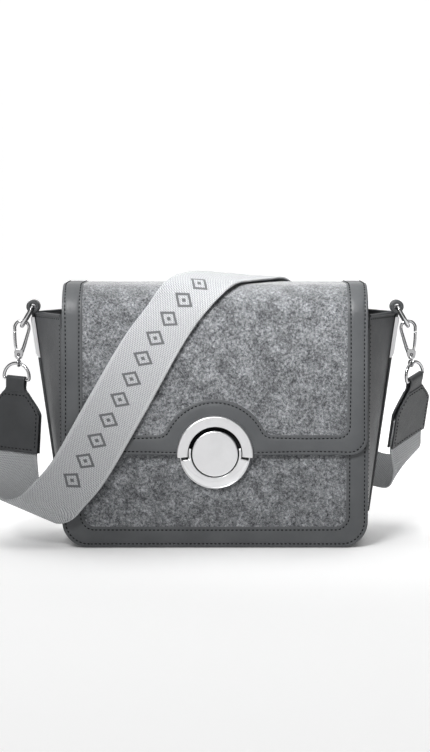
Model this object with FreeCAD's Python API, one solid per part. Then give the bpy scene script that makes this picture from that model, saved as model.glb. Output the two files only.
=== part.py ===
"""A small structured shoulder bag with a flap: leather-framed felt panels, winged side gussets, a round
push lock, and a short wide webbing strap on snap hooks. Millimetres, +Z up. The origin is the centre of the
base's underside, the front faces -Y, and each node is written to parts/NODE.step.
"""
import FreeCAD
import Part
import math
import os

from FreeCAD import Vector as V

os.makedirs("parts", exist_ok=True)

# Driving dimensions of the body.
BODY_W = 222.0
BODY_DEPTH = 88.0
FRONT_TOP_Z = 160.0
MOUTH_Z = 169.0
CORNER_R = 19.0
BORDER_SIDE = 16.0
BORDER_BASE = 15.2
FELT_R = 8.0
WING = 23.5
LEATHER = 1.2
PANEL = 2.4
GUSSET = 2.2
FLANGE = 1.6

# Driving dimensions of the flap.
FLAP_W = 220.0
FLAP_EDGE_Z = 68.0
FLAP_TOP_Z = 191.0
FLAP_OUT_Y = -48.0
FLAP_T = 2.8
FLAP_SKIN = 1.4
FLAP_FRONT_R = 23.0
FLAP_BACK_R = 25.0
FLAP_BORDER = 14.8
FLAP_FELT_Z = 82.5
FLAP_CORNER_R = 12.0
FLAP_FELT_R = 7.0
HINGE_Z = 166.0
HINGE_GAP = 1.0

# The lock.
LOCK_Z = 69.0
BUTTON_R = 16.5
RING_IN_R = 19.6
RING_OUT_R = 27.4
PLATE_R = 25.5
RING_DROP = 2.4
POST_X = 23.1
POST_R = 1.6
BUMP_R = 39.5
NOTCH_R = 21.5
BUTTON_TRAVEL = 1.5

# The strap and its fittings.
WEB_W = 40.0
WEB_T = 1.8
PIVOT_X = 135.0
PIVOT_Z = 172.3
LOOP_HALF = 6.0
LOOP_R = 4.9
LOOP_HOLE = 2.6
D_WIRE = 1.5
D_HALF = 7.9
D_DEPTH = 16.1
D_LEAN = 30.5
HOOK_X = 145.8
HOOK_Z = 137.2
HOOK_T = 3.2
EYE_R = 2.25
EYE_WIRE = 0.7
EYE_DROP = 6.6
RING_WIRE = 1.2
RING_R = 10.4
RING_H = 11.9
RING_SHIFT = 1.3
EYE_TURN = {"left": -21.0, "right": -47.6}
TAB_HALF = 21.0
TAB_NECK = 8.2
TAB_LEN = 54.0
TAB_SKIN = 1.0

HALF_W = BODY_W / 2
HALF_D = BODY_DEPTH / 2
INNER_Y = HALF_D - PANEL
X, Y, Z = V(1, 0, 0), V(0, 1, 0), V(0, 0, 1)


def save(name, *solids):
    """Writes one node, as one solid or a group of separate ones."""
    good = [s for shape in solids for s in shape.Solids]
    assert good and all(s.isValid() and s.Volume > 0 for s in good), name
    shape = good[0] if len(good) == 1 else Part.makeCompound(good)
    shape.exportStep(f"parts/{name}.step")
    print(f"{name}: {len(good)} solid(s), {sum(s.Volume for s in good):.0f} mm3")


def box(x0, x1, y0, y1, z0, z1):
    return Part.makeBox(x1 - x0, y1 - y0, z1 - z0, V(x0, y0, z0))


def cylinder(radius, start, end):
    along = end - start
    return Part.makeCylinder(radius, along.Length, start, along)


def panel(half_w, z0, z1, radius_base, y0, y1, radius_top=0.0):
    """An upright plate with round lower corners, and round upper ones if asked."""
    plate = box(-half_w, half_w, y0, y1, z0, z1)
    for z, radius in ((z0, radius_base), (z1, radius_top)):
        if radius > 0:
            edges = [e for e in plate.Edges if abs(e.BoundBox.ZLength) < 1e-6
                     and abs(e.BoundBox.XLength) < 1e-6 and abs(e.CenterOfMass.z - z) < 1e-6]
            plate = plate.makeFillet(radius, edges)
    return plate


def wire_tube(path, radius):
    """A round wire swept along a smooth wire."""
    edge = path.OrderedEdges[0]
    start = edge.valueAt(edge.FirstParameter)
    if edge.Orientation == "Reversed":
        start = edge.valueAt(edge.LastParameter)
    tangent = edge.tangentAt(edge.FirstParameter)
    ring = Part.Wire(Part.makeCircle(radius, start, tangent))
    return path.makePipeShell([ring], True, True)


def arch(half, height, corner, middle, along, up):
    """A closed D-shaped path: a straight bar centred on middle and a round arch rising from its ends."""
    def at(a, b):
        return middle + along * a + up * b
    k = corner * (1 - math.sqrt(0.5))
    spring = height - half
    edges = [
        Part.LineSegment(at(-half + corner, 0), at(half - corner, 0)).toShape(),
        Part.Arc(at(half - corner, 0), at(half - k, k), at(half, corner)).toShape(),
        Part.LineSegment(at(half, corner), at(half, spring)).toShape(),
        Part.Arc(at(half, spring), at(0, height), at(-half, spring)).toShape(),
        Part.LineSegment(at(-half, spring), at(-half, corner)).toShape(),
        Part.Arc(at(-half, corner), at(-half + k, k), at(-half + corner, 0)).toShape(),
    ]
    return Part.Wire(edges)


def mirrored(shape, side):
    """The left-hand shape as it is, or its mirror image for the right."""
    return shape if side == "left" else shape.mirror(V(0, 0, 0), X)


# ---- body panels ----

def body_panels():
    """Front and back: a stiff core, a leather frame over it and felt set into the frame."""
    for name, sign, top in (("front", -1, FRONT_TOP_Z), ("back", 1, HINGE_Z - FLAP_T / 2 - HINGE_GAP)):
        outer, skin, inner = HALF_D, HALF_D - LEATHER, INNER_Y
        def layer(a, b, half, z0, z1, r, r_top=0.0):
            y0, y1 = sorted((sign * a, sign * b))
            return panel(half, z0, z1, r, y0, y1, r_top)
        core = layer(skin, inner, HALF_W, 0, top, CORNER_R)
        window = (HALF_W - BORDER_SIDE, BORDER_BASE, top - 10, FELT_R, FELT_R)
        frame = layer(outer, skin, HALF_W, 0, top, CORNER_R).cut(layer(outer + 1, skin - 1, *window))
        felt = layer(outer - 0.25, skin, *window)
        if name == "front":
            bore = cylinder(7.0, V(0, -60, LOCK_Z), V(0, 0, LOCK_Z))
            core, felt = core.cut(bore), felt.cut(bore)
        save(f"{name}_core_board", core)
        save(f"{name}_leather_frame", frame)
        save(f"{name}_felt_panel", felt)


def base_strip():
    """The base and its two round corners, one strip between the panels, with a board on it inside."""
    outer = panel(HALF_W, 0, 60, CORNER_R, -INNER_Y, INNER_Y)
    inner = panel(HALF_W - GUSSET, GUSSET, 90, CORNER_R - GUSSET, -INNER_Y - 1, INNER_Y + 1)
    strip = outer.cut(inner).cut(box(-200, 200, -100, 100, CORNER_R, 100))
    save("base_strip", strip)
    flat = HALF_W - CORNER_R - 1
    save("base_board", box(-flat, flat, -INNER_Y + 1, INNER_Y - 1, GUSSET, GUSSET + 1.5))


def fold_x(z):
    """How far out the fold of a winged gusset stands at height z."""
    return HALF_W + WING * z / MOUTH_Z


def strip_loft(section, heights):
    """A solid ruled between the section (points x, y) at each height."""
    wires = []
    for z in heights:
        corners = [V(x, y, z) for x, y in section(z)]
        wires.append(Part.makePolygon(corners + corners[:1]))
    return Part.makeLoft(wires, True, True)


def gussets():
    """Each side: two leather halves that meet in an outward fold, and the sewn flange along it."""
    for side in ("left", "right"):
        for half, sign in (("front", -1), ("back", 1)):
            def section(z):
                f = fold_x(z)
                return [(-HALF_W, sign * INNER_Y), (-f, 0), (-f + GUSSET, 0), (-HALF_W + GUSSET, sign * INNER_Y)]
            leaf = strip_loft(section, (CORNER_R, MOUTH_Z))
            if half == "back":
                leaf = leaf.cut(box(-200, 0, INNER_Y - 1.6, 60, HINGE_Z - 5, 200))
            save(f"gusset_{side}_{half}", mirrored(leaf, side))
        def seam(z):
            f = fold_x(z)
            return [(-f - FLANGE, -1.1), (-f - FLANGE, 1.1), (-f, 1.1 * 0.5), (-f, -1.1 * 0.5)]
        save(f"gusset_seam_{side}", mirrored(strip_loft(seam, (CORNER_R + 4, 150)), side))


def lining():
    """Thin cloth inside: front and back walls joined by the floor."""
    cloth, floor = 0.6, GUSSET + 1.5
    half, radius = HALF_W - GUSSET - 0.4, CORNER_R - GUSSET
    front = panel(half, floor, FRONT_TOP_Z - 3, radius, -INNER_Y, -INNER_Y + cloth)
    front = front.cut(cylinder(15.0, V(0, -60, LOCK_Z), V(0, 0, LOCK_Z)))
    back = panel(half, floor, FRONT_TOP_Z - 3, radius, INNER_Y - cloth, INNER_Y)
    flat = HALF_W - CORNER_R - 1.5
    under = box(-flat, flat, -INNER_Y, INNER_Y, floor, floor + cloth)
    save("lining", front.fuse([back, under]).removeSplitter())
    pocket = panel(70, 60, 135, 8, INNER_Y - cloth - 1.0, INNER_Y - cloth)
    save("inner_pocket", pocket)


# ---- flap ----

def flap_band(outer_off, inner_off):
    """The flap's bent sheet between two depths below its outer surface, over its whole width."""
    def edge_points(off):
        front_r, back_r = FLAP_FRONT_R - off, FLAP_BACK_R - off
        fy, fz = FLAP_OUT_Y + FLAP_FRONT_R, FLAP_TOP_Z - FLAP_FRONT_R
        by, bz = HALF_D - FLAP_BACK_R, FLAP_TOP_Z - FLAP_BACK_R
        c = math.sqrt(0.5)
        return [V(0, FLAP_OUT_Y + off, FLAP_EDGE_Z), V(0, FLAP_OUT_Y + off, fz),
                V(0, fy - front_r * c, fz + front_r * c), V(0, fy, FLAP_TOP_Z - off), V(0, by, FLAP_TOP_Z - off),
                V(0, by + back_r * c, bz + back_r * c), V(0, HALF_D - off, bz)]
    def run(p):
        return [Part.LineSegment(p[0], p[1]).toShape(), Part.Arc(p[1], p[2], p[3]).toShape(),
                Part.LineSegment(p[3], p[4]).toShape(), Part.Arc(p[4], p[5], p[6]).toShape()]
    a, b = edge_points(outer_off), edge_points(inner_off)
    ends = [Part.LineSegment(a[-1], b[-1]).toShape(), Part.LineSegment(b[0], a[0]).toShape()]
    face = Part.Face(Part.Wire(Part.__sortEdges__(run(a) + run(b) + ends)))
    face.translate(V(-FLAP_W / 2, 0, 0))
    return face.extrude(V(FLAP_W, 0, 0))


def flap_trim():
    """What the flap keeps: its outline from the front, with round corners, the lock's notch and post holes."""
    outline = panel(FLAP_W / 2, FLAP_EDGE_Z, 250, FLAP_CORNER_R, -70, 70)
    outline = outline.cut(cylinder(NOTCH_R, V(0, -80, LOCK_Z), V(0, 0, LOCK_Z)))
    for x in (-POST_X, POST_X):
        outline = outline.cut(cylinder(POST_R, V(x, -80, LOCK_Z + 5), V(x, 0, LOCK_Z + 5)))
    return outline


def felt_window():
    """The opening in the flap's leather that the felt fills, with an arch over the lock."""
    half = FLAP_W / 2 - FLAP_BORDER
    window = panel(half, FLAP_FELT_Z, 250, FLAP_FELT_R, -70, HALF_D - 9)
    return window.cut(cylinder(BUMP_R, V(0, -80, LOCK_Z), V(0, 0, LOCK_Z)))


def flap():
    outline, window = flap_trim(), felt_window()
    skin = flap_band(0, FLAP_SKIN).common(outline)
    save("flap_leather_frame", skin.cut(window))
    save("flap_felt_panel", flap_band(0.25, FLAP_SKIN).common(outline).common(window))
    backing = flap_band(FLAP_SKIN, FLAP_T).common(outline)
    bead_end = V(FLAP_W / 2, HALF_D - FLAP_T / 2, HINGE_Z)
    bead = cylinder(FLAP_T / 2, bead_end - X * FLAP_W, bead_end)
    save("flap_backing", backing)
    save("flap_hinge_bead", bead.cut(box(-200, 200, 0, 60, HINGE_Z, 200)))


# ---- lock ----

def annulus(r_in, r_out, y0, y1):
    middle = V(0, y0, LOCK_Z)
    return Part.makeCylinder(r_out, y1 - y0, middle, Y).cut(Part.makeCylinder(r_in, y1 - y0, middle, Y))


def lock():
    below = box(-40, 40, -70, -20, 0, LOCK_Z - RING_DROP)
    above = box(-40, 40, -70, -20, LOCK_Z - RING_DROP, 120)
    ring_y = FLAP_OUT_Y - 3.2
    ring = annulus(RING_IN_R, RING_OUT_R, ring_y, FLAP_OUT_Y).common(above)
    rounded = [e for e in ring.Edges if abs(e.CenterOfMass.y - ring_y) < 0.01 and e.BoundBox.ZLength > 5]
    save("lock_half_ring", ring.makeFillet(0.6, rounded))
    posts = [cylinder(POST_R, V(x, FLAP_OUT_Y, LOCK_Z + 5), V(x, FLAP_OUT_Y + FLAP_T + 0.8, LOCK_Z + 5))
             for x in (-POST_X, POST_X)]
    save("lock_ring_posts", *posts)
    face_y = -HALF_D
    plate = annulus(7.0, BUTTON_R + 0.9, face_y - 1.2, face_y)
    seat = annulus(BUTTON_R + 0.9, PLATE_R, face_y - 1.2, face_y)
    seat = seat.common(box(-40, 40, -70, -20, 0, LOCK_Z - 4.0))
    rim = annulus(BUTTON_R + 0.9, PLATE_R, face_y - 4.6, face_y - 1.2)
    rim = rim.common(box(-40, 40, -70, -20, 0, LOCK_Z - 4.0))
    horns = annulus(BUTTON_R + 0.9, RING_IN_R - 0.5, face_y - 4.6, face_y)
    horns = horns.common(box(-40, 40, -70, -20, LOCK_Z - 4.0, LOCK_Z + 3.5))
    neck = annulus(5.0, 7.0, face_y - 1.2, -INNER_Y + 1.2)
    save("lock_base", plate.fuse([seat, rim, horns, neck]).removeSplitter())
    save("lock_backing_plate", annulus(7.0, 14.0, -INNER_Y, -INNER_Y + 1.2))
    disc = Part.makeCylinder(BUTTON_R, 2.6, V(0, face_y - 1.2 - BUTTON_TRAVEL - 0.4 - 2.6, LOCK_Z), Y)
    disc = disc.makeFillet(0.5, [max(disc.Edges, key=lambda e: -e.CenterOfMass.y + e.BoundBox.ZLength)])
    stem_y = face_y - 1.2 - BUTTON_TRAVEL - 0.4
    stem = Part.makeCylinder(2.2, 5.5, V(0, stem_y, LOCK_Z), Y)
    save("lock_button", disc.fuse(stem))
    coils = [Part.makeTorus(3.4, 0.4, V(0, stem_y + 0.6 + 0.95 * i, LOCK_Z), Y) for i in range(4)]
    save("lock_spring", *coils)
    cup = Part.makeCylinder(5.0, 0.9, V(0, -INNER_Y + 0.3, LOCK_Z), Y)
    save("lock_spring_cup", cup.cut(Part.makeCylinder(2.6, 2, V(0, -INNER_Y, LOCK_Z), Y)))


# ---- strap fittings ----

def ring_hanger(side):
    """The leather loop on top of a gusset's fold, its tail, and the metal clip that pinches it."""
    middle = V(-PIVOT_X + 0.5, 0, PIVOT_Z + 0.6)
    tube = cylinder(LOOP_R, middle - Y * LOOP_HALF, middle + Y * LOOP_HALF)
    tube = tube.cut(box(-150, -100, -20, 20, 150, MOUTH_Z + 0.05))
    tail = strip_loft(lambda z: [(-fold_x(z) - FLANGE, -1.1), (-fold_x(z) - FLANGE, 1.1),
                                 (-fold_x(z) - 0.1, 1.1), (-fold_x(z) - 0.1, -1.1)], (150.2, MOUTH_Z + 1))
    hole = cylinder(LOOP_HOLE, middle - Y * 20, middle + Y * 20)
    save(f"ring_loop_{side}", mirrored(tube.fuse(tail).cut(hole), side))

    def shoe(z):
        f = fold_x(z)
        return [(-f - FLANGE - 1.1, -2.2), (-f - FLANGE - 1.1, 2.2), (-f - 0.3, 2.2), (-f - 0.3, -2.2)]

    def slot(z):
        f = fold_x(z)
        return [(-f - FLANGE, -1.15), (-f - FLANGE, 1.15), (-f + 1, 1.15), (-f + 1, -1.15)]
    clip = strip_loft(shoe, (135, 165)).cut(strip_loft(slot, (134, 166)))
    save(f"fold_clip_{side}", mirrored(clip, side))


def d_ring(side):
    lean = math.radians(D_LEAN)
    down = V(-math.sin(lean), 0, -math.cos(lean))
    path = arch(D_HALF, D_DEPTH, 2.2, V(-PIVOT_X, 0, PIVOT_Z), Y, down)
    save(f"d_ring_{side}", mirrored(wire_tube(path, D_WIRE), side))


def hook(side):
    """Snap hook in the plane y = 0, its origin at the gate pin: frame, gate, pin and swivel eye."""
    place = V(-HOOK_X, 0, HOOK_Z)
    half = HOOK_T / 2

    def outline(points, arcs):
        """Straight edges through the points, but an arc through arcs[i] after point i."""
        p = [V(x, -half, z) for x, z in points]
        edges = []
        for i, a in enumerate(p):
            b = p[(i + 1) % len(p)]
            if i in arcs:
                mid = V(arcs[i][0], -half, arcs[i][1])
                edges.append(Part.Arc(a, mid, b).toShape())
            else:
                edges.append(Part.LineSegment(a, b).toShape())
        return Part.Face(Part.Wire(edges)).extrude(V(0, HOOK_T, 0))

    frame = outline([(-2.6, -3.3), (2.4, -3.3), (4.4, 2.0), (9.2, 19.4), (-4.2, 19.4), (-4.2, 17.0), (-1.7, 17.0),
                     (-1.7, 19.4), (6.7, 19.4), (2.4, 3.6), (-3.2, 3.6), (-3.2, 0.0)],
                    {3: (2.5, 26.1), 7: (2.5, 23.6)})
    slot = box(-9, 2.2, -0.9, 0.9, -1.85, 9)
    pin_hole = cylinder(0.7, V(0, -5, 0), V(0, 5, 0))
    barrel = cylinder(2.3, V(0, 0, -3.3), V(0, 0, -1.85))
    pocket = cylinder(1.5, V(0, 0, -2.75), V(0, 0, -2.15))
    shank_hole = cylinder(1.07, V(0, 0, -9), V(0, 0, -2.7)).fuse(pocket)
    frame = frame.fuse(barrel).cut(slot).cut(pin_hole).cut(shank_hole)
    gate = outline([(-1.3, 0.2), (-3.1, 4.2), (-4.1, 16.1), (-1.7, 16.7), (-1.0, 4.2), (1.0, 0.8)], {})
    gate = gate.common(box(-9, 9, -1.3, 1.3, 4.0, 30).fuse(box(-9, 9, -0.6, 0.6, -9, 4.0)))
    gate = gate.fuse(cylinder(1.5, V(0, -0.6, 0), V(0, 0.6, 0))).cut(cylinder(0.75, V(0, -5, 0), V(0, 5, 0)))
    pin = cylinder(0.7, V(0, -half - 0.3, 0), V(0, half + 0.3, 0))
    for name, shape in (("hook_frame", frame), ("hook_gate", gate), ("hook_pin", pin)):
        shape.translate(place)
        save(f"{name}_{side}", mirrored(shape, side))
    middle = V(0, 0, -EYE_DROP + 0.05)
    eye = Part.makeTorus(EYE_R, EYE_WIRE, middle, X)
    head = cylinder(1.4, V(0, 0, -2.67), V(0, 0, -2.23))
    shank = cylinder(1.0, V(0, 0, middle.z + EYE_R), V(0, 0, -2.3)).fuse(head)
    swivel = eye.fuse(shank)
    swivel.rotate(V(0, 0, 0), Z, EYE_TURN[side])
    swivel.translate(place)
    save(f"hook_swivel_{side}", mirrored(swivel, side))


def tab_frame(side):
    """Where a tab hangs: its bar's middle, width, length and normal directions, and the ring's up."""
    out = -1 if side == "left" else 1
    top = V(out * HOOK_X, 0, HOOK_Z - EYE_DROP)
    width = V(0.93, -0.36, -0.06) if side == "left" else V(0.64, 0.70, 0.30)
    length = V(-0.02, 0, -1) if side == "left" else V(0, 0.527, -0.85)
    width.normalize()
    up = Z - width * width.z
    length = length - width * length.dot(width)
    for v in (up, length):
        v.normalize()
    return top - up * RING_H + width * (out * RING_SHIFT), width, length, width.cross(length), up


def strap_end(side):
    """The ring on the swivel and the folded leather tab that holds the webbing's end."""
    bar, width, length, normal, up = tab_frame(side)
    path = arch(RING_R, RING_H, 1.2, bar, width, up)
    save(f"strap_ring_{side}", wire_tube(path, RING_WIRE))
    inner, outer = RING_WIRE + 0.3, RING_WIRE + 0.3 + TAB_SKIN

    def at(n, v):
        return bar + normal * n + length * v

    def hairpin(fold, flat, v_end):
        return [Part.LineSegment(at(-flat, v_end), at(-flat, 9)).toShape(),
                Part.LineSegment(at(-flat, 9), at(-fold, 3)).toShape(),
                Part.LineSegment(at(-fold, 3), at(-fold, 0)).toShape(),
                Part.Arc(at(-fold, 0), at(0, -fold), at(fold, 0)).toShape(),
                Part.LineSegment(at(fold, 0), at(fold, 3)).toShape(),
                Part.LineSegment(at(fold, 3), at(flat, 9)).toShape(),
                Part.LineSegment(at(flat, 9), at(flat, v_end)).toShape()]
    web_half = WEB_T / 2 + 0.1
    rims = [Part.LineSegment(at(s * web_half, TAB_LEN), at(s * (web_half + TAB_SKIN), TAB_LEN)).toShape()
            for s in (-1, 1)]
    loop = Part.Wire(Part.__sortEdges__(hairpin(outer, web_half + TAB_SKIN, TAB_LEN)
                                        + hairpin(inner, web_half, TAB_LEN) + rims))
    sheet = Part.Face(loop)
    sheet.translate(width * -TAB_HALF)
    folded = sheet.extrude(width * (2 * TAB_HALF))
    points = [(-TAB_NECK, -9), (TAB_NECK, -9), (TAB_NECK, 8), (TAB_HALF, 28), (TAB_HALF, TAB_LEN + 1),
              (-TAB_HALF, TAB_LEN + 1), (-TAB_HALF, 28), (-TAB_NECK, 8)]
    corners = [bar + width * u + length * v - normal * 9 for u, v in points]
    outline = Part.Face(Part.makePolygon(corners + corners[:1])).extrude(normal * 18)
    save(f"strap_tab_{side}", folded.common(outline))


# ---- webbing ----
# Each station is the centre of the webbing and half of the line straight across it, from its left edge.

def stations():
    """The webbing's four runs: left loop, front and top, back, and right loop."""
    left_bar, left_w, left_l = tab_frame("left")[:3]
    right_bar, right_w, right_l = tab_frame("right")[:3]
    half = WEB_W / 2
    left = [(left_bar + left_l * 30, left_w * half), (left_bar + left_l * 55, left_w * half),
            (V(-149, -4, 45.5), V(18.9, -6.2, -2.6)), (V(-144.5, -20, 32.5), V(19.2, -3.2, -6.5)),
            (V(-135.5, -42, 26.5), V(19.3, -0.5, -8.2)), (V(-123, -51.4, 29.5), V(19, 0, -8.6))]
    front = [left[-1], (V(-112.5, -50.6, 39.5), V(18.9, 0, -8.2)), (V(-97, -50.6, 58.5), V(19.5, 0, -7)),
             (V(-72, -50.6, 102), V(21.6, 0, -3.5)), (V(-44.6, -50.6, 150), V(22.9, 0, 0)),
             (V(-25.5, -49.6, 176), V(23.1, 0, 0)), (V(-10.5, -42.5, 192), V(25, 3.5, -1.2)),
             (V(3.5, -20, 195.7), V(24.5, 0, -3)), (V(17.5, 5, 195.5), V(23.5, 0, -2.6))]
    back = [front[-1], (V(28, 23, 194.2), V(23, 0, -1)), (V(35.5, 34, 189.4), V(23, 0, 0)),
            (V(44, 43.4, 180), V(23, 0, 0)), (V(52, 47.2, 166), V(22.8, 0, 0)), (V(71, 47.6, 130), V(22, 0, 2)),
            (V(85, 49, 100), V(20.5, 1, 5)), (V(97, 54.5, 73), V(16, 8, 9)), (V(110, 61, 52), V(8, 13.5, 12.5))]
    right = [back[-1], (V(126, 61.5, 43), V(3, 16, 11)), (V(139, 55, 43), V(6, 15.5, 10.5)),
             (V(146.5, 42, 53), V(11, 14.8, 7.5)), (right_bar + right_l * 55, right_w * half),
             (right_bar + right_l * 30, right_w * half)]
    return {"left": left, "front": front, "back": back, "right": right}


def ribbon(sections):
    """A solid through four-cornered sections, each joined to the next corner by corner."""
    faces = [Part.Face(Part.makePolygon(c + c[:1])) for c in (sections[0], sections[-1])]
    for a, b in zip(sections, sections[1:]):
        for i in range(4):
            j = (i + 1) % 4
            faces.append(Part.makeRuledSurface(Part.LineSegment(a[i], a[j]).toShape(),
                                               Part.LineSegment(b[i], b[j]).toShape()))
    shell = Part.makeShell(faces)
    shell.sewShape()
    solid = Part.makeSolid(shell)
    if solid.Volume < 0:
        solid.reverse()
    return solid


def webbing():
    runs = stations()
    strap = runs["left"] + runs["front"][1:] + runs["back"][1:] + runs["right"][1:]
    sections = []
    for i, (centre, across) in enumerate(strap):
        before, after = strap[max(i - 1, 0)][0], strap[min(i + 1, len(strap) - 1)][0]
        normal = (after - before).cross(across)
        normal.normalize()
        lift = normal * (WEB_T / 2)
        sections.append([centre - across - lift, centre + across - lift,
                         centre + across + lift, centre - across + lift])
    start = 0
    for name, run in runs.items():
        save(f"webbing_{name}", ribbon(sections[start:start + len(run)]))
        start += len(run) - 1


body_panels()
base_strip()
gussets()
lining()
flap()
lock()
for hand in ("left", "right"):
    ring_hanger(hand)
    d_ring(hand)
    hook(hand)
    strap_end(hand)
webbing()
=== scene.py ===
"""Looks for a small shoulder bag of felt panels in leather frames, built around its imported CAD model.

Lengths in this script are millimetres until a mesh is made, which scales them to metres.
"""

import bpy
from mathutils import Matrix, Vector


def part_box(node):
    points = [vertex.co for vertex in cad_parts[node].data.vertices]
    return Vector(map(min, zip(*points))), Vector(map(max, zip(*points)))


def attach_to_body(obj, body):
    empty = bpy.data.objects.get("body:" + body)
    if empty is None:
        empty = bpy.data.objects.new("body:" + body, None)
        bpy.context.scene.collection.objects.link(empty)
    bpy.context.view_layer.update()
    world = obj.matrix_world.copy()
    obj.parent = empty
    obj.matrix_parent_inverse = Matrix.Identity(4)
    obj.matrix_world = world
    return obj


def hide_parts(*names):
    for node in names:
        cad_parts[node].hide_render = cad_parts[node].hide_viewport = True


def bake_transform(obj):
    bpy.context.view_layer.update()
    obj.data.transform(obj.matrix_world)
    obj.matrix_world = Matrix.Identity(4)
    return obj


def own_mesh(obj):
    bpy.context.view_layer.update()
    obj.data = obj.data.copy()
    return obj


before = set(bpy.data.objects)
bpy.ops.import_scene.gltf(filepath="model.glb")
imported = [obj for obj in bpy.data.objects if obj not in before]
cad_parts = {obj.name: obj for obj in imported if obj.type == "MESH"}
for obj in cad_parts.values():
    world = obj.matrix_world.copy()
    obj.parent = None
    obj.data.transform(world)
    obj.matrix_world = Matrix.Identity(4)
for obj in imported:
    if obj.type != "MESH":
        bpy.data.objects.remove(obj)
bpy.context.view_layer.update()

import math

import bmesh
import bpy
from mathutils import Vector, noise

MM = 0.001

# Body.
HALF_W = 111.0
HALF_D = 44.0
PANEL = 2.4
INNER_Y = HALF_D - PANEL
PANEL_TOP = {"front": 160.0, "back": 163.6}
CORNER_R = 19.0
BORDER_SIDE = 16.0
BORDER_BASE = 15.2
FELT_R = 8.0
WING = 23.5
MOUTH_Z = 169.0
GUSSET_T = 2.2
CLIP_BASE_Z = 135.0
CLIP_TOP_Z = 165.0

# Flap.
FLAP_HALF = 110.0
FLAP_EDGE_Z = 68.0
FLAP_TOP_Z = 191.0
FLAP_Y = -48.0
FRONT_R = 23.0
BACK_R = 25.0
FLAP_SKIN = 1.4
FLAP_BORDER = 14.8
FLAP_BORDER_BASE = 14.5
FLAP_CORNER_R = 12.0
FLAP_FELT_R = 7.0
FELT_END = 197.5

# Felt faces: how far they lie under the leather's level, their thickness and their grid.
FELT_SUNK = 0.42
FELT_T = 0.7
FELT_STEP = 1.6

# Lock.
LOCK_Z = 69.0
LOCK_V = LOCK_Z - FLAP_EDGE_Z
BUTTON_R = 16.5
RING_IN_R = 19.6
RING_OUT_R = 27.4
BUMP_R = 39.5
NOTCH_R = 21.5
LAND_R = 24.9
LAND_RISE = 4.7
ARC_R = 25.5
SPRING_R = 3.4
SPRING_WIRE = 0.4

# Strap and fittings.
WEB_W = 40.0
WEB_T = 1.8
PIVOT_X = 135.0
PIVOT_Z = 172.3
LOOP_R = 4.9
LOOP_HOLE = 2.0
D_WIRE = 1.5
D_HALF = 7.9
D_DEPTH = 16.1
D_CORNER = 2.2
D_LEAN = 30.5
HOOK_X = 145.8
HOOK_Z = 137.2
EYE_DROP = 6.6
EYE_R = 2.25
EYE_WIRE = 0.7
RING_R = 10.4
RING_H = 11.9
RING_WIRE = 1.2
RING_SHIFT = 1.3
TAB_HALF = 21.0
TAB_NECK = 7.6
TAB_LEN = 54.0
TAB_FOLD = 9.5
TAB_COVER = 0.45
TAB_T = 1.0

STITCH_IN = 2.6
STITCH_PITCH = 3.0
STITCH_LEN = 1.95
STITCH_R = 0.42
STITCH_RINGS = ((-0.5, 0.25, -0.30), (-0.36, 0.85, -0.05), (0.0, 1.0, 0.10), (0.36, 0.85, -0.05),
                (0.5, 0.25, -0.30))
LOZENGE_PITCH = 17.0
LOZENGES = 11
RIB_PITCH = 1.5
THREAD_PITCH = 1.2

SIDES = (("left", -1), ("right", 1))
X, Y, Z = Vector((1, 0, 0)), Vector((0, 1, 0)), Vector((0, 0, 1))


# ---- meshes ----

def make_mesh(name, verts, faces, material, uvs=None, smooth=True):
    """A mesh object from millimetre points; uvs gives one (u, v) in metres for each point."""
    mesh = bpy.data.meshes.new(name)
    mesh.from_pydata([tuple(c * MM for c in v) for v in verts], [], faces)
    if uvs is not None:
        layer = mesh.uv_layers.new(name="cloth")
        for loop in mesh.loops:
            layer.data[loop.index].uv = uvs[loop.vertex_index]
    mesh.validate()
    bm = bmesh.new()
    bm.from_mesh(mesh)
    bmesh.ops.recalc_face_normals(bm, faces=bm.faces)
    bm.to_mesh(mesh)
    bm.free()
    for polygon in mesh.polygons:
        polygon.use_smooth = smooth and len(polygon.vertices) < 5
    mesh.materials.append(material)
    piece = bpy.data.objects.new(name, mesh)
    bpy.context.scene.collection.objects.link(piece)
    return piece


def attach(piece, body, slot, *nodes):
    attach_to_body(piece, body)
    if nodes:
        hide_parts(*nodes)
    return piece


def grid_faces(rows, cols, closed_rows=False, closed_cols=False, start=0):
    """Quads over a rows by cols grid of points, which may close on itself either way."""
    faces = []
    for i in range(rows if closed_rows else rows - 1):
        for j in range(cols if closed_cols else cols - 1):
            a, b = i, (i + 1) % rows
            c, d = j, (j + 1) % cols
            faces.append(tuple(start + p for p in (a * cols + c, a * cols + d, b * cols + d, b * cols + c)))
    return faces


def loft(name, rings, material, closed=False, uvs=None, smooth=True):
    """A mesh through rings of equally many points, capped at both ends or closed on itself."""
    rows, n = len(rings), len(rings[0])
    faces = grid_faces(rows, n, closed, True)
    if not closed:
        faces += [tuple(range(n)), tuple(range((rows - 1) * n, rows * n))]
    return make_mesh(name, [p for ring in rings for p in ring], faces, material, uvs, smooth)


def circle(n):
    """Angles of n points round a circle."""
    return [2 * math.pi * i / n for i in range(n)]


def wobble(p, size, depth):
    """Smooth noise at a millimetre point, with bumps of the given size."""
    return noise.noise(Vector(p) / size) * depth


def smoothed(points, per):
    """A smooth curve through the points, with per steps between each two."""
    padded = [points[0] * 2 - points[1], *points, points[-1] * 2 - points[-2]]
    out = []
    for i in range(1, len(padded) - 2):
        a, b, c, d = padded[i - 1:i + 3]
        for k in range(per):
            t = k / per
            out.append(0.5 * (2 * b + (c - a) * t + (2 * a - 5 * b + 4 * c - d) * t * t
                              + (3 * b - a - 3 * c + d) * t ** 3))
    return out + [points[-1]]


def polar(r, a, y=0.0):
    """A point at a radius and an angle from +X towards +Z, at a depth y."""
    return Vector((math.cos(a) * r, y, math.sin(a) * r))


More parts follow.
